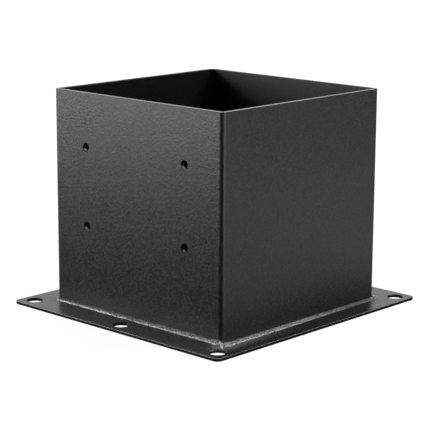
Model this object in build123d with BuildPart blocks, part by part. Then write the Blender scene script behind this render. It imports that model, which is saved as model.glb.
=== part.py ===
from build123d import *
import os

# Timber post base: a folded sheet sleeve welded onto a drilled base plate, in millimetres.
# The origin is the centre of the plate's underside and +Z is up. The drilled walls are at -Y and +Y.

# Timber post and the room round it in the sleeve
post_side = 140.0
post_clearance = 1.0

# Sleeve, one strip of sheet with three bends and a seam at the fourth corner, at -X and +Y
sleeve_wall = 2.5
sleeve_height = 139.0
bend_inner_radius = 0.5
seam_gap = 1.6

# Screw holes, drilled through the front and back walls together
screw_hole_diameter = 5.3
screw_side_inset = 30.3
screw_rim_inset = 34.6
screw_row_pitch = 50.7
screw_shift = -0.7

# Base plate, wider at the front and back than at the sides
side_flange = 17.75
front_flange = 22.25
plate_thickness = 2.0
plate_corner_radius = 4.0

# Anchor holes: one near each corner and one midway along the front and back edges
anchor_hole_diameter = 10.2
anchor_side_inset = 9.3
anchor_front_inset = 9.9

# Weld beads, and the size of the rounding along the outlines and the easing at the holes
weld_plate_leg = 4.0
weld_wall_leg = 2.0
weld_crown = 0.4
edge_radius = 0.3

# Sizes that follow from the ones above
sleeve_inner = post_side + 2 * post_clearance
sleeve_outer = sleeve_inner + 2 * sleeve_wall
sheet_middle = (sleeve_inner + sleeve_wall) / 2
seam_offset = sleeve_inner / 2 - seam_gap
bend_outer_radius = bend_inner_radius + sleeve_wall
seam_outer_radius = seam_gap + sleeve_wall
plate_length = sleeve_outer + 2 * side_flange
plate_width = sleeve_outer + 2 * front_flange
anchor_spacing_x = plate_length - 2 * anchor_side_inset
anchor_spacing_y = plate_width - 2 * anchor_front_inset
screw_spacing = sleeve_outer - 2 * screw_side_inset
rim_height = plate_thickness + sleeve_height
screw_middle_height = rim_height - screw_rim_inset - screw_row_pitch / 2


def rim_edges(piece):
    """The top edges of a piece, without those where the strip's ends meet the seam weld."""
    top_edges = piece.faces().sort_by(Axis.Z)[-1].edges()
    past_left_end = top_edges.filter_by(lambda edge: abs(edge.center().Y - seam_offset) > 1e-4)
    return past_left_end.filter_by(lambda edge: abs(edge.center().X + seam_offset) > 1e-4)


def hole_edges(piece):
    """The full circles of a piece, which are the rims of its drilled holes."""
    return piece.edges().filter_by(lambda edge: edge.is_closed)


# Base plate, rounded over along its outline and eased at its holes, on top and underneath
with BuildPart() as base_plate:
    with BuildSketch():
        RectangleRounded(plate_length, plate_width, plate_corner_radius)
        with GridLocations(anchor_spacing_x, anchor_spacing_y, 2, 2):
            Circle(anchor_hole_diameter / 2, mode=Mode.SUBTRACT)
        with GridLocations(0, anchor_spacing_y, 1, 2):
            Circle(anchor_hole_diameter / 2, mode=Mode.SUBTRACT)
    extrude(amount=plate_thickness)
    chamfer(hole_edges(base_plate), edge_radius)
    outline = base_plate.faces().filter_by(Axis.Z).edges() - hole_edges(base_plate)
    fillet(outline, edge_radius)

# Sleeve: the strip's middle line runs from one side of the seam round three bends to the other
with BuildPart() as sleeve:
    with BuildSketch(Plane.XY.offset(plate_thickness)):
        with BuildLine():
            FilletPolyline(
                (-sheet_middle, seam_offset),
                (-sheet_middle, -sheet_middle),
                (sheet_middle, -sheet_middle),
                (sheet_middle, sheet_middle),
                (-seam_offset, sheet_middle),
                radius=bend_inner_radius + sleeve_wall / 2,
            )
        trace(line_width=sleeve_wall)
    extrude(amount=sleeve_height)
    fillet(rim_edges(sleeve), edge_radius)
    with Locations(Plane.XZ * Location((screw_shift, screw_middle_height, 0))):
        with GridLocations(screw_spacing, screw_row_pitch, 2, 2):
            Hole(screw_hole_diameter / 2)
    chamfer(hole_edges(sleeve), edge_radius)

# Corner seam: the weld that joins the strip's two ends, rounded outside and flat at its root
with BuildPart() as corner_seam_weld:
    with BuildSketch(Plane.XY.offset(plate_thickness)):
        with BuildLine():
            outside = CenterArc((-seam_offset, seam_offset), seam_outer_radius, 90, 90)
            root = Line((-seam_offset, sleeve_inner / 2), (-sleeve_inner / 2, seam_offset))
            Line(outside @ 0, root @ 0)
            Line(outside @ 1, root @ 1)
        make_face()
    extrude(amount=sleeve_height)
    fillet(rim_edges(corner_seam_weld), edge_radius)


def weld_run(turn, left_radius, right_radius):
    """The bead along one wall's foot, from one corner's mitre to the next, as seen from outside."""
    foot = Plane.XY.offset(plate_thickness).rotated((0, 0, turn))
    wall = -sleeve_outer / 2
    left, right = wall + left_radius, -wall - right_radius
    with BuildPart() as run:
        for x, radius, spin in ((right, right_radius, 1), (left, left_radius, -1)):
            section_plane = Plane(foot.from_local_coords((x, wall, 0)), -foot.y_dir, -foot.x_dir)
            corner_axis = Axis(foot.from_local_coords((x, wall + radius, 0)), (0, 0, spin))
            with BuildSketch(section_plane) as section:
                with BuildLine():
                    Polyline((weld_plate_leg, 0), (0, 0), (0, weld_wall_leg))
                    SagittaArc((0, weld_wall_leg), (weld_plate_leg, 0), weld_crown)
                make_face()
            revolve(axis=corner_axis, revolution_arc=45)
            if spin > 0:
                extrude(section.sketch, amount=right - left)
    return run


# Fillet welds along the sleeve's foot, one run a wall, which meet at the corners
fillet_weld_front = weld_run(0, bend_outer_radius, bend_outer_radius)
fillet_weld_right = weld_run(90, bend_outer_radius, bend_outer_radius)
fillet_weld_back = weld_run(180, bend_outer_radius, seam_outer_radius)
fillet_weld_left = weld_run(270, seam_outer_radius, bend_outer_radius)

pieces = {
    "base_plate": base_plate,
    "sleeve": sleeve,
    "corner_seam_weld": corner_seam_weld,
    "fillet_weld_front": fillet_weld_front,
    "fillet_weld_right": fillet_weld_right,
    "fillet_weld_back": fillet_weld_back,
    "fillet_weld_left": fillet_weld_left,
}
os.makedirs("parts", exist_ok=True)
for name, piece in pieces.items():
    piece.part.label = name
    export_step(piece.part, f"parts/{name}.step")
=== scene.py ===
"""Finishes a welded steel post base: satin powder coat, weld beads, spatter and a plain studio."""

import math

import bmesh
import bpy
from mathutils import Matrix, Vector


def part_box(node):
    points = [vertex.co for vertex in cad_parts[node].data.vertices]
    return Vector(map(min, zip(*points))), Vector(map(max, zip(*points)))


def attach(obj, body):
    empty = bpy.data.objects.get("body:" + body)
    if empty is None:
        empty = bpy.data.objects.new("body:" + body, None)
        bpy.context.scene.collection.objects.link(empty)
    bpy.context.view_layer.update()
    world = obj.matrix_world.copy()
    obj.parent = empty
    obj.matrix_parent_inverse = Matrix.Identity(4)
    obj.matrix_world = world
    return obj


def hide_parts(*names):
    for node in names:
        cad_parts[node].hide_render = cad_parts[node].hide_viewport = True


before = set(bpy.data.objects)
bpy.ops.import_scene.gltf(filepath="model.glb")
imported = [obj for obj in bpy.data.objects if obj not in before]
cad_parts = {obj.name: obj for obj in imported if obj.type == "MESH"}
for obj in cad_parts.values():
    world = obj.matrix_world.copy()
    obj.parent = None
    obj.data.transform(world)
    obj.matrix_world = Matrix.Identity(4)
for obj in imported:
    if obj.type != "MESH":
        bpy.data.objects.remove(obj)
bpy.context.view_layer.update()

bl_info = {
    "name": "Post Base Finish",
    "version": (1, 0, 0),
    "blender": (4, 5, 0),
    "location": "3D View > Sidebar > Post Base",
    "description": "Powder coat, weld beads and studio for a welded steel post base",
    "category": "Object",
}

# Sizes from the frame, in metres
sleeve_low, sleeve_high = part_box("sleeve")
plate_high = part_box("base_plate")[1]
seam_low, seam_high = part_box("corner_seam_weld")
half_sleeve = sleeve_high.x
rim_height = sleeve_high.z
plate_top = plate_high.z
weld_leg = sleeve_low.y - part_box("fillet_weld_front")[0].y
seam_radius = seam_high.x - seam_low.x

# Sizes that the frame's boxes don't show: plate corners, sleeve bends and rounded edges
plate_corner = 0.004
bend_radius = 0.003
edge_width = 0.0004

pure_white = (1.0, 1.0, 1.0, 1.0)


# Nodes


def socket_called(sockets, key):
    """The socket at a place, or of a name among those in use."""
    if isinstance(key, int):
        return sockets[key]
    for socket in sockets:
        if socket.name == key and socket.enabled:
            return socket
    raise KeyError(f"no socket {key!r} among {[socket.name for socket in sockets]}")


def place(tree, kind, settings=None, sockets=None):
    """Adds one node: its settings first, then the values or links of its sockets.
    The setting "captured" lists the data type and name of what a Capture Attribute node keeps."""
    node = tree.nodes.new(kind)
    for name, value in (settings or {}).items():
        if name == "captured":
            for data_type, item in value:
                node.capture_items.new(data_type, item)
        else:
            setattr(node, name, value)
    for key, value in (sockets or {}).items():
        target = socket_called(node.inputs, key)
        if isinstance(value, Signal):
            tree.links.new(value.output, target)
        else:
            target.default_value = value
    return Signal(next((o for o in node.outputs if o.enabled), None), node)


def is_vector(part):
    """Whether one part of an expression is a vector rather than a number."""
    if isinstance(part, Signal):
        return part.output.type == "VECTOR"
    return isinstance(part, (tuple, Vector))


def combine(operation, *parts):
    """A Math node on numbers, or a Vector Math node where a part is a vector."""
    tree = next(part.tree for part in parts if isinstance(part, Signal))
    if not any(is_vector(part) for part in parts):
        return place(tree, "ShaderNodeMath", {"operation": operation}, dict(enumerate(parts)))
    if operation == "MULTIPLY" and not all(is_vector(part) for part in parts):
        vector, factor = sorted(parts, key=is_vector, reverse=True)
        settings = {"operation": "SCALE"}
        return place(tree, "ShaderNodeVectorMath", settings, {0: vector, "Scale": factor})
    return place(tree, "ShaderNodeVectorMath", {"operation": operation}, dict(enumerate(parts)))


class Signal:
    """A node's output. Python's operators on it add Math and Vector Math nodes."""

    def __init__(self, output, node=None):
        self.output = output
        self.node = node or output.node
        self.tree = self.node.id_data

    def of(self, name):
        """Another output of the same node."""
        return Signal(socket_called(self.node.outputs, name))

    def __add__(self, other):
        return combine("ADD", self, other)

    def __radd__(self, other):
        return combine("ADD", other, self)

    def __sub__(self, other):
        return combine("SUBTRACT", self, other)

    def __rsub__(self, other):
        return combine("SUBTRACT", other, self)

    def __mul__(self, other):
        return combine("MULTIPLY", self, other)

    def __rmul__(self, other):
        return combine("MULTIPLY", other, self)

    def __truediv__(self, other):
        return combine("DIVIDE", self, other)

    def __rtruediv__(self, other):
        return combine("DIVIDE", other, self)

    def __pow__(self, other):
        return combine("POWER", self, other)

    def __gt__(self, other):
        return combine("GREATER_THAN", self, other)

    def __lt__(self, other):
        return combine("LESS_THAN", self, other)

    def at_least(self, other):
        """The larger of the two."""
        return combine("MAXIMUM", self, other)

    def at_most(self, other):
        """The smaller of the two."""
        return combine("MINIMUM", self, other)

    def turned(self, operation):
        """A Math or Vector Math operation that takes this value alone, such as SINE."""
        return combine(operation, self)

    def crossed(self, other):
        """The vector at right angles to both."""
        return combine("CROSS_PRODUCT", self, other)

    def dotted(self, other):
        """How far this vector reaches along the other one."""
        return combine("DOT_PRODUCT", self, other)

    def eased(self, start, end):
        """From 0 at start to 1 at end, smoothly."""
        settings = {"interpolation_type": "SMOOTHSTEP"}
        sockets = {"Value": self, "From Min": start, "From Max": end}
        return place(self.tree, "ShaderNodeMapRange", settings, sockets)

    def faded(self, start, end):
        """From 1 at start to 0 at end, smoothly."""
        return 1.0 - self.eased(start, end)


def noise(tree, where, size, detail=2.0, roughness=0.5):
    """Smooth noise from 0 to 1 with lumps of about the given size, in metres."""
    settings = {"noise_dimensions": "3D"}
    sockets = {"Vector": where, "Scale": 1.0 / size, "Detail": detail, "Roughness": roughness}
    return place(tree, "ShaderNodeTexNoise", settings, sockets)


def mixed_colours(tree, factor, first, second):
    """The first colour where the factor is 0, and the second where it is 1."""
    settings = {"data_type": "RGBA", "clamp_factor": True}
    return place(tree, "ShaderNodeMix", settings, {"Factor": factor, "A": first, "B": second})


def bumped(tree, relief, depth):
    """The normal of a surface with that relief, which is depth high from 0 to 1."""
    sockets = {"Strength": 1.0, "Distance": depth, "Height": relief}
    return place(tree, "ShaderNodeBump", {}, sockets)


def opaque(colour):
    """A colour with full alpha."""
    return (*colour, 1.0)


def bearing(azimuth):
    """The level direction at an azimuth in degrees, counted from the front to the right."""
    angle = math.radians(azimuth)
    return Vector((math.sin(angle), -math.cos(angle), 0.0))


# Settings


class CoatSettings(bpy.types.PropertyGroup):
    """The satin black powder coat on the plate and the sleeve."""

    colour: bpy.props.FloatVectorProperty(
        name="Colour",
        description="Colour of the powder coat",
        subtype="COLOR",
        size=3,
        min=0.0,
        max=1.0,
        default=(0.012, 0.012, 0.0127),
    )
    roughness: bpy.props.FloatProperty(
        name="Roughness",
        description="How much the satin coat blurs what it mirrors",
        subtype="FACTOR",
        min=0.0,
        max=1.0,
        default=0.40,
    )
    plate_roughness: bpy.props.FloatProperty(
        name="Plate roughness",
        description="The same on the plate, where the coat lay flat and flowed smoother",
        subtype="FACTOR",
        min=0.0,
        max=1.0,
        default=0.28,
    )
    # The edge colour is a painted highlight along the plate's upper edge and the front and right
    # rims.
    edge_highlight_colour: bpy.props.FloatVectorProperty(
        name="Edge highlight colour",
        description="Colour along the sharp edges, where the coat is thin",
        subtype="COLOR",
        size=3,
        min=0.0,
        max=1.0,
        default=(0.36, 0.36, 0.36),
    )
    grain_size: bpy.props.FloatProperty(
        name="Grain size",
        description="Width of one grain of the fine texture",
        unit="LENGTH",
        min=0.0002,
        default=0.0010,
    )
    grain_depth: bpy.props.FloatProperty(
        name="Grain depth",
        description="Height of the fine texture",
        unit="LENGTH",
        min=0.0,
        default=0.00017,
    )
    peel_size: bpy.props.FloatProperty(
        name="Peel size",
        description="Width of one lump of the orange peel under the grain",
        unit="LENGTH",
        min=0.0005,
        default=0.0042,
    )
    # Within this reach the front wall also takes painted shade above its weld.
    fume_reach: bpy.props.FloatProperty(
        name="Fume reach",
        description="How far from the welds the coat is coarser, and darker on the front wall",
        unit="LENGTH",
        min=0.0,
        default=0.011,
    )
    # The colour of painted shade on the front wall just above its weld, and faintly on the plate
    # before it.
    weld_shade_colour: bpy.props.FloatVectorProperty(
        name="Weld shade colour",
        description="Colour of the front wall just above its weld",
        subtype="COLOR",
        size=3,
        min=0.0,
        max=1.0,
        default=(0.001, 0.001, 0.001),
    )
    # The pale dust beside the right bead is partly a painted reflection of the bead in the plate.
    dust_and_reflection_reach: bpy.props.FloatProperty(
        name="Dust and reflection reach",
        description="How far from the right wall the weld dust lies",
        unit="LENGTH",
        min=0.001,
        default=0.014,
    )
    dust_and_reflection_colour: bpy.props.FloatVectorProperty(
        name="Dust and reflection colour",
        description="Colour of the pale weld dust on the plate beside the right bead",
        subtype="COLOR",
        size=3,
        min=0.0,
        max=1.0,
        default=(0.20, 0.20, 0.20),
    )


class BeadSettings(bpy.types.PropertyGroup):
    """The weld beads round the foot of the sleeve and up its seam."""

    # The metal colour is also the colour of the painted highlights on the beads and lumps.
    metal_and_highlight_colour: bpy.props.FloatVectorProperty(
        name="Metal and highlight colour",
        description="Colour of the crests, where the coat is thin",
        subtype="COLOR",
        size=3,
        min=0.0,
        max=1.0,
        default=(0.66, 0.66, 0.65),
    )
    valley_colour: bpy.props.FloatVectorProperty(
        name="Valley colour",
        description="Colour of the hollows, where the coat has gathered",
        subtype="COLOR",
        size=3,
        min=0.0,
        max=1.0,
        default=(0.035, 0.035, 0.036),
    )
    pit_depth: bpy.props.FloatProperty(
        name="Pit depth",
        description="Depth of the fine pits in the weld metal",
        unit="LENGTH",
        min=0.0,
        default=0.00012,
    )
    ripple_pitch: bpy.props.FloatProperty(
        name="Ripple pitch",
        description="Distance from one ripple of a bead to the next",
        unit="LENGTH",
        min=0.0004,
        default=0.0016,
    )
    ripple_height: bpy.props.FloatProperty(
        name="Ripple height",
        description="Height of the ripples",
        unit="LENGTH",
        min=0.0,
        default=0.00026,
    )
    grain_size: bpy.props.FloatProperty(
        name="Grain size",
        description="Width of the lumps on a bead",
        unit="LENGTH",
        min=0.0002,
        default=0.0009,
    )
    grain_height: bpy.props.FloatProperty(
        name="Grain height",
        description="Height of the lumps on a bead",
        unit="LENGTH",
        min=0.0,
        default=0.00016,
    )
    wander: bpy.props.FloatProperty(
        name="Wander",
        description="How much a bead's width changes along its run",
        subtype="FACTOR",
        min=0.0,
        max=0.5,
        default=0.12,
    )


class SpatterSettings(bpy.types.PropertyGroup):
    """The small droplets that welding leaves beside the beads."""

    count: bpy.props.IntProperty(
        name="Count",
        description="Droplets beside each bead",
        min=0,
        default=34,
    )
    reach: bpy.props.FloatProperty(
        name="Reach",
        description="How far droplets land from a bead",
        unit="LENGTH",
        min=0.0,
        default=0.009,
    )
    droplet: bpy.props.FloatProperty(
        name="Droplet",
        description="Radius of the largest droplet",
        unit="LENGTH",
        min=0.0001,
        default=0.00042,
    )


class StageSettings(bpy.types.PropertyGroup):
    """The floor and the camera."""

    floor_colour: bpy.props.FloatVectorProperty(
        name="Floor colour",
        description="Colour of the plain floor",
        subtype="COLOR",
        size=3,
        min=0.0,
        max=1.0,
        default=(0.80, 0.80, 0.80),
    )
    floor_radius: bpy.props.FloatProperty(
        name="Floor radius",
        description="Radius of the round floor",
        unit="LENGTH",
        min=0.5,
        default=6.0,
    )
    camera_place: bpy.props.FloatVectorProperty(
        name="Camera place",
        description="Where the camera stands",
        subtype="TRANSLATION",
        unit="LENGTH",
        size=3,
        default=(0.67537, -0.72189, 0.27465),
    )
    camera_turn: bpy.props.FloatVectorProperty(
        name="Camera turn",
        description="The camera's turn about X, Y and Z",
        subtype="EULER",
        unit="ROTATION",
        size=3,
        default=(1.355126, -0.005036, 0.754166),
    )
    camera_lens: bpy.props.FloatProperty(
        name="Camera lens",
        description="Focal length of the camera on a 36 mm sensor",
        unit="CAMERA",
        min=1.0,
        default=130.29,
    )


# Materials


def new_material(name):
    """An empty material, and its node tree."""
    material = bpy.data.materials.new(name)
    material.use_nodes = True
    material.node_tree.nodes.clear()
    return material, material.node_tree


def shared_material(name, make, settings):
    """The material of that name, made once."""
    return bpy.data.materials.get(name) or make(settings)


def painted_edge_highlight(where, axes):
    """A painted highlight along the edges, where light catches them: on the plate's upper edge,
    most of all in front, and on the rims of the front and right walls, less so towards the back."""
    # How strongly each edge takes the painted highlight: the plate's sides and front, the far and
    # near rims, and how much it fades towards the back.
    side_edge, front_edge = 0.42, 0.75
    far_rim, near_rim, rim_loss_at_back = 0.03, 1.00, 0.45
    outer, inner = -0.3 * edge_width, -edge_width

    corner = (plate_high.x - plate_corner, plate_high.y - plate_corner, 0.0)
    past_corner = (where.turned("ABSOLUTE") * (1.0, 1.0, 0.0) - corner).at_least((0.0, 0.0, 0.0))
    past_outline = past_corner.turned("LENGTH") - plate_corner
    on_plate_edge = past_outline.eased(inner, outer)
    on_plate_edge = on_plate_edge * (axes.of("Z") - plate_top).eased(inner, outer)
    in_front = (-1.0 * axes.of("Y")).eased(0.9 * plate_high.y, 0.98 * plate_high.y)
    plate_part = (side_edge + (front_edge - side_edge) * in_front) * on_plate_edge

    on_rim = (axes.of("Z") - rim_height).eased(outer, 0.0)
    near_walls = (axes.of("X") - axes.of("Y")).eased(-0.01, 0.01)
    kept = 1.0 - rim_loss_at_back * axes.of("Y").eased(-half_sleeve, half_sleeve)
    rim_part = (far_rim + (near_rim - far_rim) * near_walls * kept) * on_rim
    return plate_part.at_least(rim_part)


def dust_and_bead_reflection(axes, on_plate, reach):
    """How thickly pale weld dust lies on the plate beside the right bead, most of all in front.
    Partly it is a painted reflection of the bead in the plate.
    """
    edge_of_dust = (-0.006, 0.003)
    length_in_reaches = 5.0

    beside = axes.of("X") - half_sleeve
    before = (-1.0 * axes.of("Y") - half_sleeve).at_least(0.0)
    away = (beside * beside + before * before) ** 0.5
    dust = away.faded(0.3 * reach, reach) * on_plate * beside.eased(*edge_of_dust)
    return dust * (axes.of("Y") + half_sleeve).faded(0.0, length_in_reaches * reach)


def powder_coat(coat):
    """Satin black powder coat with a fine grain, coarser beside the welds. It carries a painted
    highlight along the edges and the front and right rims, painted shade on the front wall above
    its weld, and pale weld dust beside the right bead that is partly a painted reflection of the
    bead.
    """
    dark_grain, light_grain = 0.3, 2.5
    coarser = 1.7
    peel_relief, coarse_relief = 0.12, 0.25
    drift_gloss, grain_gloss, fume_gloss = 0.05, 0.35, 0.12
    # How far the painted shade goes towards its colour, on the wall and on the plate.
    weld_shade_tint, weld_shade_tint_on_plate = 0.9, 0.2
    least_dust, patchy_dust = 0.4, 0.8

    material, tree = new_material("satin_powder_coat")
    where = place(tree, "ShaderNodeTexCoord").of("Object")
    axes = place(tree, "ShaderNodeSeparateXYZ", {}, {"Vector": where})
    from_axis = axes.of("X").turned("ABSOLUTE").at_least(axes.of("Y").turned("ABSOLUTE"))
    from_wall = (from_axis - half_sleeve).turned("ABSOLUTE")
    above_plate = axes.of("Z") - plate_top
    on_plate = above_plate.faded(0.0, 0.0005)
    fume = from_wall.at_least(above_plate).faded(0.2 * coat.fume_reach, coat.fume_reach)
    # Painted shade on the front wall above its weld, and faintly on the plate before it.
    on_front = (-1.0 * axes.of("Y") - half_sleeve).eased(-bend_radius, 0.0)
    painted_weld_shade = fume * on_front * (1.0 - (1.0 - weld_shade_tint_on_plate) * on_plate)

    grain = noise(tree, where, coat.grain_size, detail=2.0, roughness=0.6)
    coarse = noise(tree, where, coarser * coat.grain_size, detail=3.0, roughness=0.7)
    peel = noise(tree, where, coat.peel_size, detail=1.0)
    drift = noise(tree, where, size=0.035)
    relief = grain + peel_relief * peel + coarse_relief * fume * coarse

    dark, light = (opaque([c * part for c in coat.colour]) for part in (dark_grain, light_grain))
    colour = mixed_colours(tree, grain.eased(0.35, 0.70), dark, light)
    # Painted shade above the front weld.
    colour = mixed_colours(tree, weld_shade_tint * painted_weld_shade, colour, opaque(coat.weld_shade_colour))
    # Painted highlight along the edges and rims.
    colour = mixed_colours(tree, painted_edge_highlight(where, axes), colour, opaque(coat.edge_highlight_colour))
    # Weld dust beside the right bead, partly a painted reflection of the bead.
    dust = dust_and_bead_reflection(axes, on_plate, coat.dust_and_reflection_reach) * (least_dust + patchy_dust * coarse)
    colour = mixed_colours(tree, dust, colour, opaque(coat.dust_and_reflection_colour))

    roughness = coat.roughness + (coat.plate_roughness - coat.roughness) * on_plate
    roughness = roughness + drift_gloss * (drift - 0.5) + grain_gloss * (grain - 0.5)
    steel = place(
        tree,
        "ShaderNodeBsdfPrincipled",
        {},
        {
            "Base Color": colour,
            "Roughness": roughness + fume_gloss * painted_weld_shade,
            "IOR": 1.5,
            "Normal": bumped(tree, relief, coat.grain_depth),
        },
    )
    place(tree, "ShaderNodeOutputMaterial", {"target": "ALL"}, {"Surface": steel})
    return material


def weld_skin(bead):
    """Rough weld metal: bright on the crests, where the coat is thin and where painted highlights
    stand in for glints, dark where the coat has gathered.
    """
    valley_roughness, crest_roughness = 0.46, 0.32
    crest_metallic = 0.35

    material, tree = new_material("rough_weld_skin")
    where = place(tree, "ShaderNodeTexCoord").of("Object")
    bare_and_highlight = place(tree, "ShaderNodeAttribute", {"attribute_name": "bare_and_highlight"}).of("Fac")
    fleck = noise(tree, where, size=0.0012, detail=3.0, roughness=0.65)
    cloud = noise(tree, where, size=0.006)
    crest = (bare_and_highlight * (fleck + 0.3 * cloud).eased(0.53, 0.69)).at_most(1.0)
    skin = place(
        tree,
        "ShaderNodeBsdfPrincipled",
        {},
        {
            "Base Color": mixed_colours(
                tree, crest, opaque(bead.valley_colour), opaque(bead.metal_and_highlight_colour)
            ),
            "Metallic": crest_metallic * crest,
            "Roughness": valley_roughness + (crest_roughness - valley_roughness) * crest,
            "IOR": 1.45,
            "Normal": bumped(tree, fleck, bead.pit_depth),
        },
    )
    place(tree, "ShaderNodeOutputMaterial", {"target": "ALL"}, {"Surface": skin})
    return material


def floor_paper(stage):
    """Plain pale paper, shown white to the camera but for the shadow on it. The steel mirrors
    the paper to its right and a dark card elsewhere."""
    paper_azimuth = 112
    dark_card = (0.02, 0.02, 0.02, 1.0)
    glow_strength = 1.08
    near_glow, far_glow = 0.88, 1.00

    material, tree = new_material("floor_paper")
    where = place(tree, "ShaderNodeTexCoord").of("Object")
    seen = place(tree, "ShaderNodeLightPath").of("Is Camera Ray")
    to_paper = where.turned("NORMALIZE").dotted(tuple(bearing(paper_azimuth)))
    past_plate = (where.turned("ABSOLUTE") - tuple(plate_high)).at_least((0.0, 0.0, 0.0))
    on_paper = to_paper.eased(0.55, 0.80) * past_plate.turned("LENGTH").eased(0.005, 0.04)
    paper = opaque(stage.floor_colour)
    shade = mixed_colours(tree, seen.at_least(on_paper), dark_card, paper)
    matt = place(tree, "ShaderNodeBsdfDiffuse", {}, {"Color": shade})
    glow = place(
        tree, "ShaderNodeEmission", {}, {"Color": pure_white, "Strength": glow_strength}
    )
    glow_share = near_glow + (far_glow - near_glow) * where.turned("LENGTH").eased(0.15, 0.70)
    shown = place(tree, "ShaderNodeMixShader", {}, {0: glow_share * seen, 1: matt, 2: glow})
    place(tree, "ShaderNodeOutputMaterial", {"target": "ALL"}, {"Surface": shown})
    return material


# Shapes

socket_kinds = {
    float: "NodeSocketFloat",
    int: "NodeSocketInt",
    tuple: "NodeSocketVector",
    type(None): "NodeSocketMaterial",
}


def geometry_tree(name, inputs):
    """An empty geometry tree with named inputs and their defaults, and its group input.
    An input without a default takes a material."""
    tree = bpy.data.node_groups.new(name, "GeometryNodeTree")
    tree.interface.new_socket("Geometry", in_out="INPUT", socket_type="NodeSocketGeometry")
    tree.interface.new_socket("Geometry", in_out="OUTPUT", socket_type="NodeSocketGeometry")
    for label, value in inputs.items():
        kind = socket_kinds[type(value)]
        socket = tree.interface.new_socket(label, in_out="INPUT", socket_type=kind)
        if value is not None:
            socket.default_value = value
    return tree, place(tree, "NodeGroupInput")


def marked_bare_and_highlight(tree, geometry, bare_and_highlight):
    """Stores how much uncoated metal shows at each point, with painted highlight and shade mixed
    in, which the weld skin reads.
    """
    settings = {"data_type": "FLOAT", "domain": "POINT"}
    sockets = {"Geometry": geometry, "Name": "bare_and_highlight", "Value": bare_and_highlight}
    return place(tree, "GeometryNodeStoreNamedAttribute", settings, sockets)


def smoothed(tree, geometry):
    """The geometry with smooth shading."""
    sockets = {"Geometry": geometry, "Shade Smooth": True}
    return place(tree, "GeometryNodeSetShadeSmooth", {}, sockets)


def close_tree(tree, geometry, material):
    """Ends a tree in Realize Instances and Set Material."""
    whole = place(tree, "GeometryNodeRealizeInstances", {}, {"Geometry": geometry})
    painted = place(tree, "GeometryNodeSetMaterial", {}, {"Geometry": whole, "Material": material})
    place(tree, "NodeGroupOutput", {"is_active_output": True}, {"Geometry": painted})


def made_piece(name, tree, points, inputs):
    """A plain mesh piece that a tree makes along a line of points, or at a single point."""
    line = bpy.data.meshes.new(name + "_path")
    line.from_pydata(points, [(i, i + 1) for i in range(len(points) - 1)], [])
    piece = bpy.data.objects.new(name, line)
    bpy.context.scene.collection.objects.link(piece)
    modifier = piece.modifiers.new("shape", "NODES")
    modifier.node_group = tree
    identifiers = {
        item.name: item.identifier
        for item in tree.interface.items_tree
        if item.item_type == "SOCKET" and item.in_out == "INPUT"
    }
    for label, value in inputs.items():
        modifier[identifiers[label]] = value
    graph = bpy.context.evaluated_depsgraph_get()
    shape = bpy.data.meshes.new_from_object(
        piece.evaluated_get(graph), preserve_all_data_layers=True, depsgraph=graph
    )
    piece.modifiers.remove(modifier)
    piece.data = shape
    bpy.data.meshes.remove(line)
    shape.name = name
    face_outwards(shape)
    if not shape.polygons:
        raise RuntimeError(f"{name} came out empty")
    return piece


def face_outwards(shape):
    """Turns every face of a mesh of closed shells outwards."""
    solid = bmesh.new()
    solid.from_mesh(shape)
    bmesh.ops.recalc_face_normals(solid, faces=solid.faces)
    solid.to_mesh(shape)
    solid.free()


def swept_ring(tree, given, ring_points):
    """A ring of points swept along the tree's line. Returns the tube, the line with each
    point's run, spot and heading, the ring with each point's place in it, and the length."""
    line = place(tree, "GeometryNodeMeshToCurve", {}, {"Mesh": given.of("Geometry")})
    spacing = {"Curve": line, "Length": given.of("Step")}
    line = place(tree, "GeometryNodeResampleCurve", {"mode": "LENGTH"}, spacing)
    total = place(tree, "GeometryNodeCurveLength", {}, {"Curve": line})
    path = place(
        tree,
        "GeometryNodeCaptureAttribute",
        {
            "domain": "POINT",
            "captured": [("FLOAT", "run"), ("VECTOR", "spot"), ("VECTOR", "heading")],
        },
        {
            "Geometry": line,
            "run": place(tree, "GeometryNodeSplineParameter").of("Length"),
            "spot": place(tree, "GeometryNodeInputPosition"),
            "heading": place(tree, "GeometryNodeInputTangent"),
        },
    )
    circle = place(
        tree, "GeometryNodeCurvePrimitiveCircle", {"mode": "RADIUS"}, {"Resolution": ring_points}
    )
    ring = place(
        tree,
        "GeometryNodeCaptureAttribute",
        {"domain": "POINT", "captured": [("FLOAT", "place")]},
        {"Geometry": circle, "place": place(tree, "GeometryNodeInputIndex")},
    )
    sweep = {"Curve": path, "Profile Curve": ring, "Fill Caps": True}
    return place(tree, "GeometryNodeCurveToMesh", {}, sweep), path, ring, total


bead_inputs = {
    "Leg at start": 0.0036,
    "Leg at end": 0.0036,
    "Rise at start": 0.0020,
    "Rise at end": 0.0020,
    "Lump at start": 0.0003,
    "Lump at end": 0.0003,
    "Bare at start": 0.8,
    "Bare at end": 0.8,
    "Dark crown at start": 0.0,
    "Dark crown at end": 0.0,
    "Dark toe": 0.0,
    "Fullness": 1.3,
    "Root": 0.0,
    "End rounding": 0.0025,
    "Up": (0.0, 0.0, 1.0),
    "Ripple pitch": 0.0016,
    "Ripple height": 0.00025,
    "Grain size": 0.0008,
    "Grain height": 0.0001,
    "Wander": 0.1,
    "Step": 0.0002,
    "Seed": 0.0,
    "Material": None,
}


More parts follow.
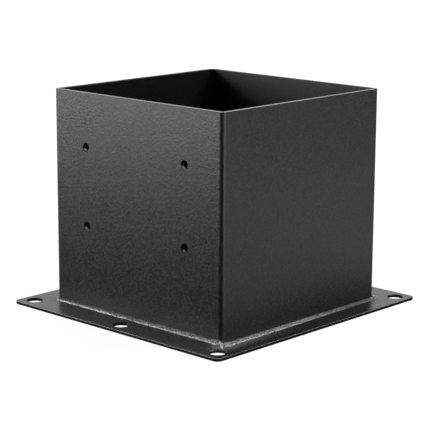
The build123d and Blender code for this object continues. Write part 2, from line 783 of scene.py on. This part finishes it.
def bead_tree():
    """A weld bead along a line, with ripples, lumps and rounded ends. Its section turns from
    level, at its leg, to upright, at its rise, and two points at the root close it behind."""
    faces = 18
    lump_span = (0.0015, 0.007)
    # How strongly the lumps take a painted highlight.
    lump_highlight = 400.0
    seed_stride = 17.3
    thinnest = 0.00004
    merge_distance = 0.000002

    tree, given = geometry_tree("weld_bead", bead_inputs)
    tube, path, ring, total = swept_ring(tree, given, faces + 3)
    run, around = path.of("run"), ring.of("place")
    to_end = total - run
    across = (around / faces).at_most(1.0)
    behind = around > faces + 0.5
    turn = across * (0.5 * math.pi) * (around < faces + 1.5)
    level, upright = turn.turned("COSINE"), turn.turned("SINE")
    up = given.of("Up")
    outward = path.of("heading").crossed(up).turned("NORMALIZE")

    def along(size, detail):
        """Noise that changes only along the run."""
        at = run / size + seed_stride * given.of("Seed")
        sockets = {"W": at, "Scale": 1.0, "Detail": detail}
        return place(tree, "ShaderNodeTexNoise", {"noise_dimensions": "1D"}, sockets)

    def from_start_to_end(label):
        """An input that has one value at each end of the line."""
        start, end = given.of(label + " at start"), given.of(label + " at end")
        return start + (end - start) * run.eased(0.0, total)

    def spot_at(reach):
        """The section's point at that distance from the line."""
        return path.of("spot") + outward * (reach * level) + up * (reach * upright)

    lump = given.of("Lump at start") * run.faded(*lump_span)
    lump = lump + given.of("Lump at end") * to_end.faded(*lump_span)
    wander = 1.0 + given.of("Wander") * (2.0 * along(size=0.009, detail=2.0) - 1.0)
    leg = from_start_to_end("Leg") * wander + 1.5 * lump
    rise = from_start_to_end("Rise") * wander + lump
    power = given.of("Fullness")
    spread = (level.at_least(0.0) / leg) ** power + (upright.at_least(0.0) / rise) ** power
    reach = 1.0 / spread ** (1.0 / power)

    belly = 4.0 * across * (1.0 - across)
    lag = given.of("Ripple pitch") * (belly + 0.5 * along(size=0.005, detail=1.0))
    ripple = ((run + lag) / given.of("Ripple pitch")).turned("FRACT") ** 1.4
    grain = noise(tree, spot_at(reach), given.of("Grain size"))
    strength = given.of("Ripple height") * (0.45 + 1.1 * along(size=0.013, detail=1.0))
    lift = strength * (ripple - 0.45) + given.of("Grain height") * (2.0 * grain - 1.0)
    lift = lift * (0.35 + 0.65 * belly.at_most(1.0))

    nearest_end = (run.at_most(to_end) / given.of("End rounding")).at_most(1.0)
    fall = 1.0 - (1.0 - (1.0 - nearest_end) ** 2.0).at_least(0.0) ** 0.5
    reach = (reach + lift - given.of("End rounding") * fall).at_least(thinnest)
    reach = reach + behind * (given.of("Root") - reach)
    shape = {"Geometry": tube, "Position": spot_at(reach)}
    settled = place(tree, "GeometryNodeSetPosition", {}, shape)

    # The share of uncoated metal is partly real, thin coat on the ripples and grain, and partly
    # painted light: the level at each end, painted shade over the crown and a painted highlight on
    # the lumps.
    painted_crown_shade = from_start_to_end("Dark crown") * across.eased(0.15, 0.50)
    dark_toe = given.of("Dark toe") * across.faded(0.0, 0.3)
    bare_and_highlight = from_start_to_end("Bare") * (1.0 - painted_crown_shade) * (1.0 - dark_toe)
    bare_and_highlight = bare_and_highlight * (0.20 + 0.60 * ripple + 0.75 * grain.eased(0.35, 0.65))
    bare_and_highlight = (bare_and_highlight + lump_highlight * lump) * (1.0 - behind)
    marked = marked_bare_and_highlight(tree, settled, bare_and_highlight)
    merge = {"Geometry": marked, "Distance": merge_distance}
    fused = place(tree, "GeometryNodeMergeByDistance", {}, merge)
    close_tree(tree, smoothed(tree, fused), given.of("Material"))
    return tree


def dab_tree():
    """Rough lumps of weld metal at the points of a line, all of one size and turned one way."""
    tree, given = geometry_tree(
        "weld_dab",
        {
            "Half size": (0.001, 0.001, 0.001),
            "Turn": 0.0,
            "Roughness": 0.25,
            "Grain size": 0.0008,
            "Bare": 1.0,
            "Material": None,
        },
    )
    ball = place(
        tree, "GeometryNodeMeshUVSphere", {}, {"Segments": 24, "Rings": 16, "Radius": 1.0}
    )
    where = place(tree, "GeometryNodeInputPosition") * given.of("Half size")
    grain = noise(tree, where, given.of("Grain size"))
    lumpy = where * (1.0 + given.of("Roughness") * (2.0 * grain - 1.0))
    spin = {"Vector": lumpy, "Angle": given.of("Turn")}
    turned = place(tree, "ShaderNodeVectorRotate", {"rotation_type": "Z_AXIS"}, spin)
    shaped = place(tree, "GeometryNodeSetPosition", {}, {"Geometry": ball, "Position": turned})
    dab = smoothed(tree, marked_bare_and_highlight(tree, shaped, given.of("Bare")))
    spread = {"Points": given.of("Geometry"), "Instance": dab}
    dabs = place(tree, "GeometryNodeInstanceOnPoints", {}, spread)
    close_tree(tree, dabs, given.of("Material"))
    return tree


def spatter_tree():
    """Droplets on the plate and the wall beside a weld, along its line."""
    wall_share = 0.22
    clear_of_bead = 1.15
    flatness = 0.8

    tree, given = geometry_tree(
        "spatter",
        {
            "Count": 30,
            "Leg": 0.003,
            "Reach": 0.009,
            "Droplet": 0.0004,
            "Seed": 1,
            "Material": None,
        },
    )

    def chance(low, high, salt):
        """A random number for each droplet, which the salt sets apart from its others."""
        sockets = {"Min": low, "Max": high, "Seed": given.of("Seed") + salt}
        return place(tree, "FunctionNodeRandomValue", {"data_type": "FLOAT"}, sockets)

    line = place(tree, "GeometryNodeMeshToCurve", {}, {"Mesh": given.of("Geometry")})
    spot = place(
        tree,
        "GeometryNodeSampleCurve",
        {"mode": "FACTOR", "use_all_curves": True},
        {"Curves": line, "Factor": chance(0.01, 0.99, 1)},
    )
    outward = spot.of("Tangent").crossed((0.0, 0.0, 1.0)).turned("NORMALIZE")
    away = given.of("Leg") * clear_of_bead + given.of("Reach") * chance(0.0, 1.0, 2) ** 2.0
    on_wall = chance(0.0, 1.0, 3) < wall_share
    climb = place(tree, "ShaderNodeCombineXYZ", {}, {"Z": away * on_wall})
    landed = spot.of("Position") + outward * away * (1.0 - on_wall) + climb
    cloud = place(tree, "GeometryNodePoints", {}, {"Count": given.of("Count")})
    cloud = place(tree, "GeometryNodeSetPosition", {}, {"Geometry": cloud, "Position": landed})

    ball = place(
        tree,
        "GeometryNodeMeshUVSphere",
        {},
        {"Segments": 8, "Rings": 5, "Radius": given.of("Droplet")},
    )
    size = 0.3 + 0.7 * chance(0.0, 1.0, 4) ** 2.5
    scale = place(tree, "ShaderNodeCombineXYZ", {}, {"X": size, "Y": size, "Z": flatness * size})
    spread = {"Points": cloud, "Instance": smoothed(tree, ball), "Scale": scale}
    drops = place(tree, "GeometryNodeInstanceOnPoints", {}, spread)
    close_tree(tree, drops, given.of("Material"))
    return tree


# Where the welds lie. A pair of values is for the start and the end of a bead, which runs
# from left to right as one faces its wall. "angles" are how far it goes round each bend.

# On each bead the levels of uncoated metal are partly a painted highlight, and the darkening of
# the crown is painted shade, set end by end to copy where light falls.
foot_sides = {
    "front": {
        "quarter": 0,
        "angles": (52, 50),
        "Leg": (0.0024, 0.0025),
        "Rise": (0.0016, 0.0021),
        "Lump": (0.0, 0.0007),
        "Bare": (0.95, 0.65),
        "Dark crown": (0.90, 0.20),
        "Dark toe": 0.0,
    },
    "right": {
        "quarter": 1,
        "angles": (46, 40),
        "Leg": (0.0056, 0.0036),
        "Rise": (0.0005, 0.0007),
        "Lump": (0.0006, 0.0005),
        "Bare": (1.70, 0.22),
        "Dark crown": (0.85, 0.25),
        "Dark toe": 0.30,
    },
    "back": {
        "quarter": 2,
        "angles": (30, 50),
        "Leg": (0.0040, 0.0040),
        "Rise": (0.0018, 0.0020),
        "Lump": (0.0002, 0.0002),
        "Bare": (0.35, 0.45),
        "Dark crown": (0.3, 0.3),
        "Dark toe": 0.2,
    },
    "left": {
        "quarter": 3,
        "angles": (50, 50),
        "Leg": (0.0040, 0.0030),
        "Rise": (0.0020, 0.0018),
        "Lump": (0.0002, 0.0),
        "Bare": (0.45, 0.60),
        "Dark crown": (0.3, 0.6),
        "Dark toe": 0.1,
    },
}
two_ended = ("Leg", "Rise", "Lump", "Bare", "Dark crown")

# The dabs' high share of uncoated metal is a painted highlight on the lumps.
weld_dabs = {
    "front_corner": {
        "at": (half_sleeve + 0.0014, -half_sleeve - 0.0014, plate_top),
        "Half size": (0.0056, 0.0010, 0.0015),
        "Turn": math.radians(-45),
        "Bare": 2.5,
    },
    "right_corner": {
        "at": (half_sleeve + 0.0009, half_sleeve - 0.0013, plate_top + 0.0009),
        "Half size": (0.0011, 0.0011, 0.0012),
        "Turn": 0.0,
        "Bare": 2.5,
    },
}


def foot_line(quarter, start_radius, end_radius, lead, trail):
    """Points along the foot of one side of the sleeve and part of the way round its bends.
    quarter counts sides from the front. lead and trail are the angles run round each bend."""
    step_angle = 6
    points = []
    for sign, radius, first, last in (
        (-1, start_radius, -90 - lead, -90),
        (1, end_radius, -90, -90 + trail),
    ):
        centre = Vector((sign * (half_sleeve - radius), radius - half_sleeve, plate_top))
        steps = max(2, round(abs(last - first) / step_angle))
        for step in range(steps + 1):
            angle = math.radians(first + (last - first) * step / steps)
            points.append(centre + radius * Vector((math.cos(angle), math.sin(angle), 0.0)))
    turn = Matrix.Rotation(quarter * math.pi / 2, 3, "Z")
    return [turn @ point for point in points]


def side_line(side):
    """The foot line of one named side. The seam is at the back left corner."""
    facts = foot_sides[side]
    start = seam_radius if side == "left" else bend_radius
    end = seam_radius if side == "back" else bend_radius
    return foot_line(facts["quarter"], start, end, *facts["angles"])


def bead_texture(bead):
    """What every weld bead takes from the settings."""
    return {
        "Ripple pitch": bead.ripple_pitch,
        "Ripple height": bead.ripple_height,
        "Grain size": bead.grain_size,
        "Grain height": bead.grain_height,
        "Wander": bead.wander,
        "Material": shared_material("rough_weld_skin", weld_skin, bead),
    }


# Stage. A softbox's azimuth is in degrees from the front to the right, its sizes in metres.

overhead_height = 1.0
softboxes = {
    "key_low": dict(azimuth=328, distance=0.60, height=0.18, width=0.31, tall=0.24, watts=1.92),
    "key_high": dict(azimuth=300, distance=0.62, height=0.37, width=0.31, tall=0.18, watts=1.10),
    "left_low": dict(azimuth=292, distance=0.60, height=0.09, width=0.31, tall=0.08, watts=0.48),
    "right_strip": dict(azimuth=88, distance=0.80, height=0.09, width=0.60, tall=0.14, watts=1.65),
    "top_back": dict(azimuth=155, distance=0.75, height=1.20, width=0.90, tall=0.90, watts=15.2),
    "top_left": dict(azimuth=285, distance=0.75, height=1.20, width=0.70, tall=0.70, watts=0.9),
}


def build_floor(stage):
    """A round paper floor under the post base."""
    sides = 96
    mesh = bpy.data.meshes.new("floor")
    rim = [stage.floor_radius * bearing(-360 * i / sides) for i in range(sides)]
    mesh.from_pydata(rim, [], [tuple(range(sides))])
    mesh.materials.append(floor_paper(stage))
    floor = bpy.data.objects.new("floor", mesh)
    bpy.context.scene.collection.objects.link(floor)


def build_world(scene):
    """White to the camera. To the steel it is white behind the post base and dim elsewhere."""
    white_azimuth = 215
    dim, white = 0.015, 0.945

    world = bpy.data.worlds.new("studio")
    world.use_nodes = True
    scene.world = world
    tree = world.node_tree
    tree.nodes.clear()
    heading = place(tree, "ShaderNodeTexCoord").of("Generated")
    seen = place(tree, "ShaderNodeLightPath").of("Is Camera Ray")
    behind = (heading * (1.0, 1.0, 0.0)).dotted(tuple(bearing(white_azimuth))).eased(0.45, 0.80)
    low = heading.dotted((0.0, 0.0, 1.0)).faded(0.45, 0.75)
    surround = dim + (white - dim) * behind * low
    strength = seen + (1.0 - seen) * surround
    glow = place(tree, "ShaderNodeBackground", {}, {"Color": pure_white, "Strength": strength})
    place(tree, "ShaderNodeOutputWorld", {"target": "ALL"}, {"Surface": glow})


def build_softbox(name, azimuth, distance, height, width, tall, watts):
    """A soft lamp the camera doesn't see. It faces level across the post base, or from
    overhead down to its middle."""
    base_middle = Vector((0.0, 0.0, 0.07))
    data = bpy.data.lights.new(name, "AREA")
    data.shape = "RECTANGLE"
    data.size = width
    data.size_y = tall
    data.energy = watts
    lamp = bpy.data.objects.new(name, data)
    lamp.location = distance * bearing(azimuth) + Vector((0.0, 0.0, height))
    facing = base_middle - lamp.location if height > overhead_height else -bearing(azimuth)
    lamp.rotation_euler = facing.to_track_quat("-Z", "Y").to_euler()
    lamp.visible_camera = False
    bpy.context.scene.collection.objects.link(lamp)


def build_camera(scene, stage):
    """The camera, at the place, turn and lens of the settings."""
    data = bpy.data.cameras.new("camera")
    data.sensor_width = 36.0
    data.lens = stage.camera_lens
    data.clip_start = 0.01
    data.clip_end = 50.0
    camera = bpy.data.objects.new("camera", data)
    camera.location = stage.camera_place
    camera.rotation_euler = stage.camera_turn
    scene.collection.objects.link(camera)
    scene.camera = camera


# Steps


class POSTBASE_OT_coat_steel(bpy.types.Operator):
    """Coat the plate and the sleeve in satin black"""

    bl_idname = "postbase.coat_steel"
    bl_label = "Coat the steel"

    def execute(self, context):
        coat = context.scene.post_base_coat
        material = shared_material("satin_powder_coat", powder_coat, coat)
        for name in ("base_plate", "sleeve"):
            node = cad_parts[name]
            if not node.material_slots:
                raise RuntimeError(f"{name} has no material slot")
            for slot in node.material_slots:
                slot.material = material
        return {"FINISHED"}


class POSTBASE_OT_lay_foot_welds(bpy.types.Operator):
    """Lay a rippled weld bead along each side of the sleeve's foot"""

    bl_idname = "postbase.lay_foot_welds"
    bl_label = "Lay the foot welds"

    def execute(self, context):
        bead = context.scene.post_base_beads
        tree = bpy.data.node_groups.get("weld_bead") or bead_tree()
        for side, facts in foot_sides.items():
            piece = made_piece(
                f"weld_bead_{side}",
                tree,
                side_line(side),
                {
                    **bead_texture(bead),
                    **{f"{part} at start": facts[part][0] for part in two_ended},
                    **{f"{part} at end": facts[part][1] for part in two_ended},
                    "Dark toe": facts["Dark toe"],
                    "Seed": float(facts["quarter"]),
                },
            )
            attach(piece, "root")
            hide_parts(f"fillet_weld_{side}")
        return {"FINISHED"}


class POSTBASE_OT_lay_corner_seam(bpy.types.Operator):
    """Lay the upright weld bead that closes the sleeve's open corner"""

    bl_idname = "postbase.lay_corner_seam"
    bl_label = "Lay the corner seam"

    def execute(self, context):
        bead = context.scene.post_base_beads
        tree = bpy.data.node_groups.get("weld_bead") or bead_tree()
        centre = Vector((seam_low.x + seam_radius, seam_high.y - seam_radius, 0.0))
        piece = made_piece(
            "weld_bead_seam",
            tree,
            [centre + Vector((0, 0, plate_top)), centre + Vector((0, 0, rim_height))],
            {
                **bead_texture(bead),
                "Leg at start": seam_radius,
                "Leg at end": seam_radius,
                "Rise at start": seam_radius,
                "Rise at end": seam_radius,
                "Bare at start": 0.3,
                "Bare at end": 0.3,
                "Lump at start": 0.0,
                "Lump at end": 0.0,
                "Fullness": 2.0,
                "Root": 0.0016,
                "End rounding": 0.0003,
                "Up": (0.0, 1.0, 0.0),
                "Grain height": 0.5 * bead.grain_height,
                "Wander": 0.02,
                "Seed": 5.0,
            },
        )
        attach(piece, "root")
        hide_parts("corner_seam_weld")
        return {"FINISHED"}


class POSTBASE_OT_drop_weld_dabs(bpy.types.Operator):
    """Drop a lump of weld metal at each end of the right bead"""

    bl_idname = "postbase.drop_weld_dabs"
    bl_label = "Drop the weld dabs"

    def execute(self, context):
        bead = context.scene.post_base_beads
        tree = bpy.data.node_groups.get("weld_dab") or dab_tree()
        for corner, facts in weld_dabs.items():
            piece = made_piece(
                f"weld_dab_{corner}",
                tree,
                [facts["at"]],
                {
                    "Half size": facts["Half size"],
                    "Turn": facts["Turn"],
                    "Grain size": bead.grain_size,
                    "Bare": facts["Bare"],
                    "Material": shared_material("rough_weld_skin", weld_skin, bead),
                },
            )
            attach(piece, "root")
        return {"FINISHED"}


class POSTBASE_OT_throw_spatter(bpy.types.Operator):
    """Scatter small weld droplets beside the foot welds"""

    bl_idname = "postbase.throw_spatter"
    bl_label = "Throw the spatter"

    def execute(self, context):
        first_seed = 40
        spatter = context.scene.post_base_spatter
        coat = context.scene.post_base_coat
        tree = bpy.data.node_groups.get("spatter") or spatter_tree()
        for side, facts in foot_sides.items():
            piece = made_piece(
                f"spatter_{side}",
                tree,
                side_line(side),
                {
                    "Count": spatter.count,
                    "Leg": weld_leg,
                    "Reach": spatter.reach,
                    "Droplet": spatter.droplet,
                    "Seed": first_seed + facts["quarter"],
                    "Material": shared_material("satin_powder_coat", powder_coat, coat),
                },
            )
            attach(piece, "root")
        return {"FINISHED"}


class POSTBASE_OT_set_stage(bpy.types.Operator):
    """Set up the floor, the lamps and the camera"""

    bl_idname = "postbase.set_stage"
    bl_label = "Set the stage"

    def execute(self, context):
        stage = context.scene.post_base_stage
        build_floor(stage)
        build_world(context.scene)
        for name, facts in softboxes.items():
            build_softbox(name, **facts)
        build_camera(context.scene, stage)
        context.scene.view_settings.view_transform = "Standard"
        return {"FINISHED"}


class POSTBASE_PT_finish(bpy.types.Panel):
    """The steps that finish the post base"""

    bl_idname = "POSTBASE_PT_finish"
    bl_label = "Post Base"
    bl_space_type = "VIEW_3D"
    bl_region_type = "UI"
    bl_category = "Post Base"

    def draw(self, context):
        for step in steps:
            self.layout.operator(step.bl_idname)
        for group in groups:
            box = self.layout.box()
            for name in groups[group].__annotations__:
                box.prop(getattr(context.scene, group), name)


groups = {
    "post_base_coat": CoatSettings,
    "post_base_beads": BeadSettings,
    "post_base_spatter": SpatterSettings,
    "post_base_stage": StageSettings,
}
steps = (
    POSTBASE_OT_coat_steel,
    POSTBASE_OT_lay_foot_welds,
    POSTBASE_OT_lay_corner_seam,
    POSTBASE_OT_drop_weld_dabs,
    POSTBASE_OT_throw_spatter,
    POSTBASE_OT_set_stage,
)


def register():
    """Adds the settings, the steps and the panel to Blender."""
    for name, group in groups.items():
        bpy.utils.register_class(group)
        setattr(bpy.types.Scene, name, bpy.props.PointerProperty(type=group))
    for step in steps:
        bpy.utils.register_class(step)
    bpy.utils.register_class(POSTBASE_PT_finish)


def unregister():
    """Takes the panel, the steps and the settings out again."""
    bpy.utils.unregister_class(POSTBASE_PT_finish)
    for step in reversed(steps):
        bpy.utils.unregister_class(step)
    for name, group in reversed(groups.items()):
        delattr(bpy.types.Scene, name)
        bpy.utils.unregister_class(group)


def main():
    """Registers the add-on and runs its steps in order."""
    register()
    bpy.ops.postbase.coat_steel()
    bpy.ops.postbase.lay_foot_welds()
    bpy.ops.postbase.lay_corner_seam()
    bpy.ops.postbase.drop_weld_dabs()
    bpy.ops.postbase.throw_spatter()
    bpy.ops.postbase.set_stage()


if __name__ == "__main__":
    main()
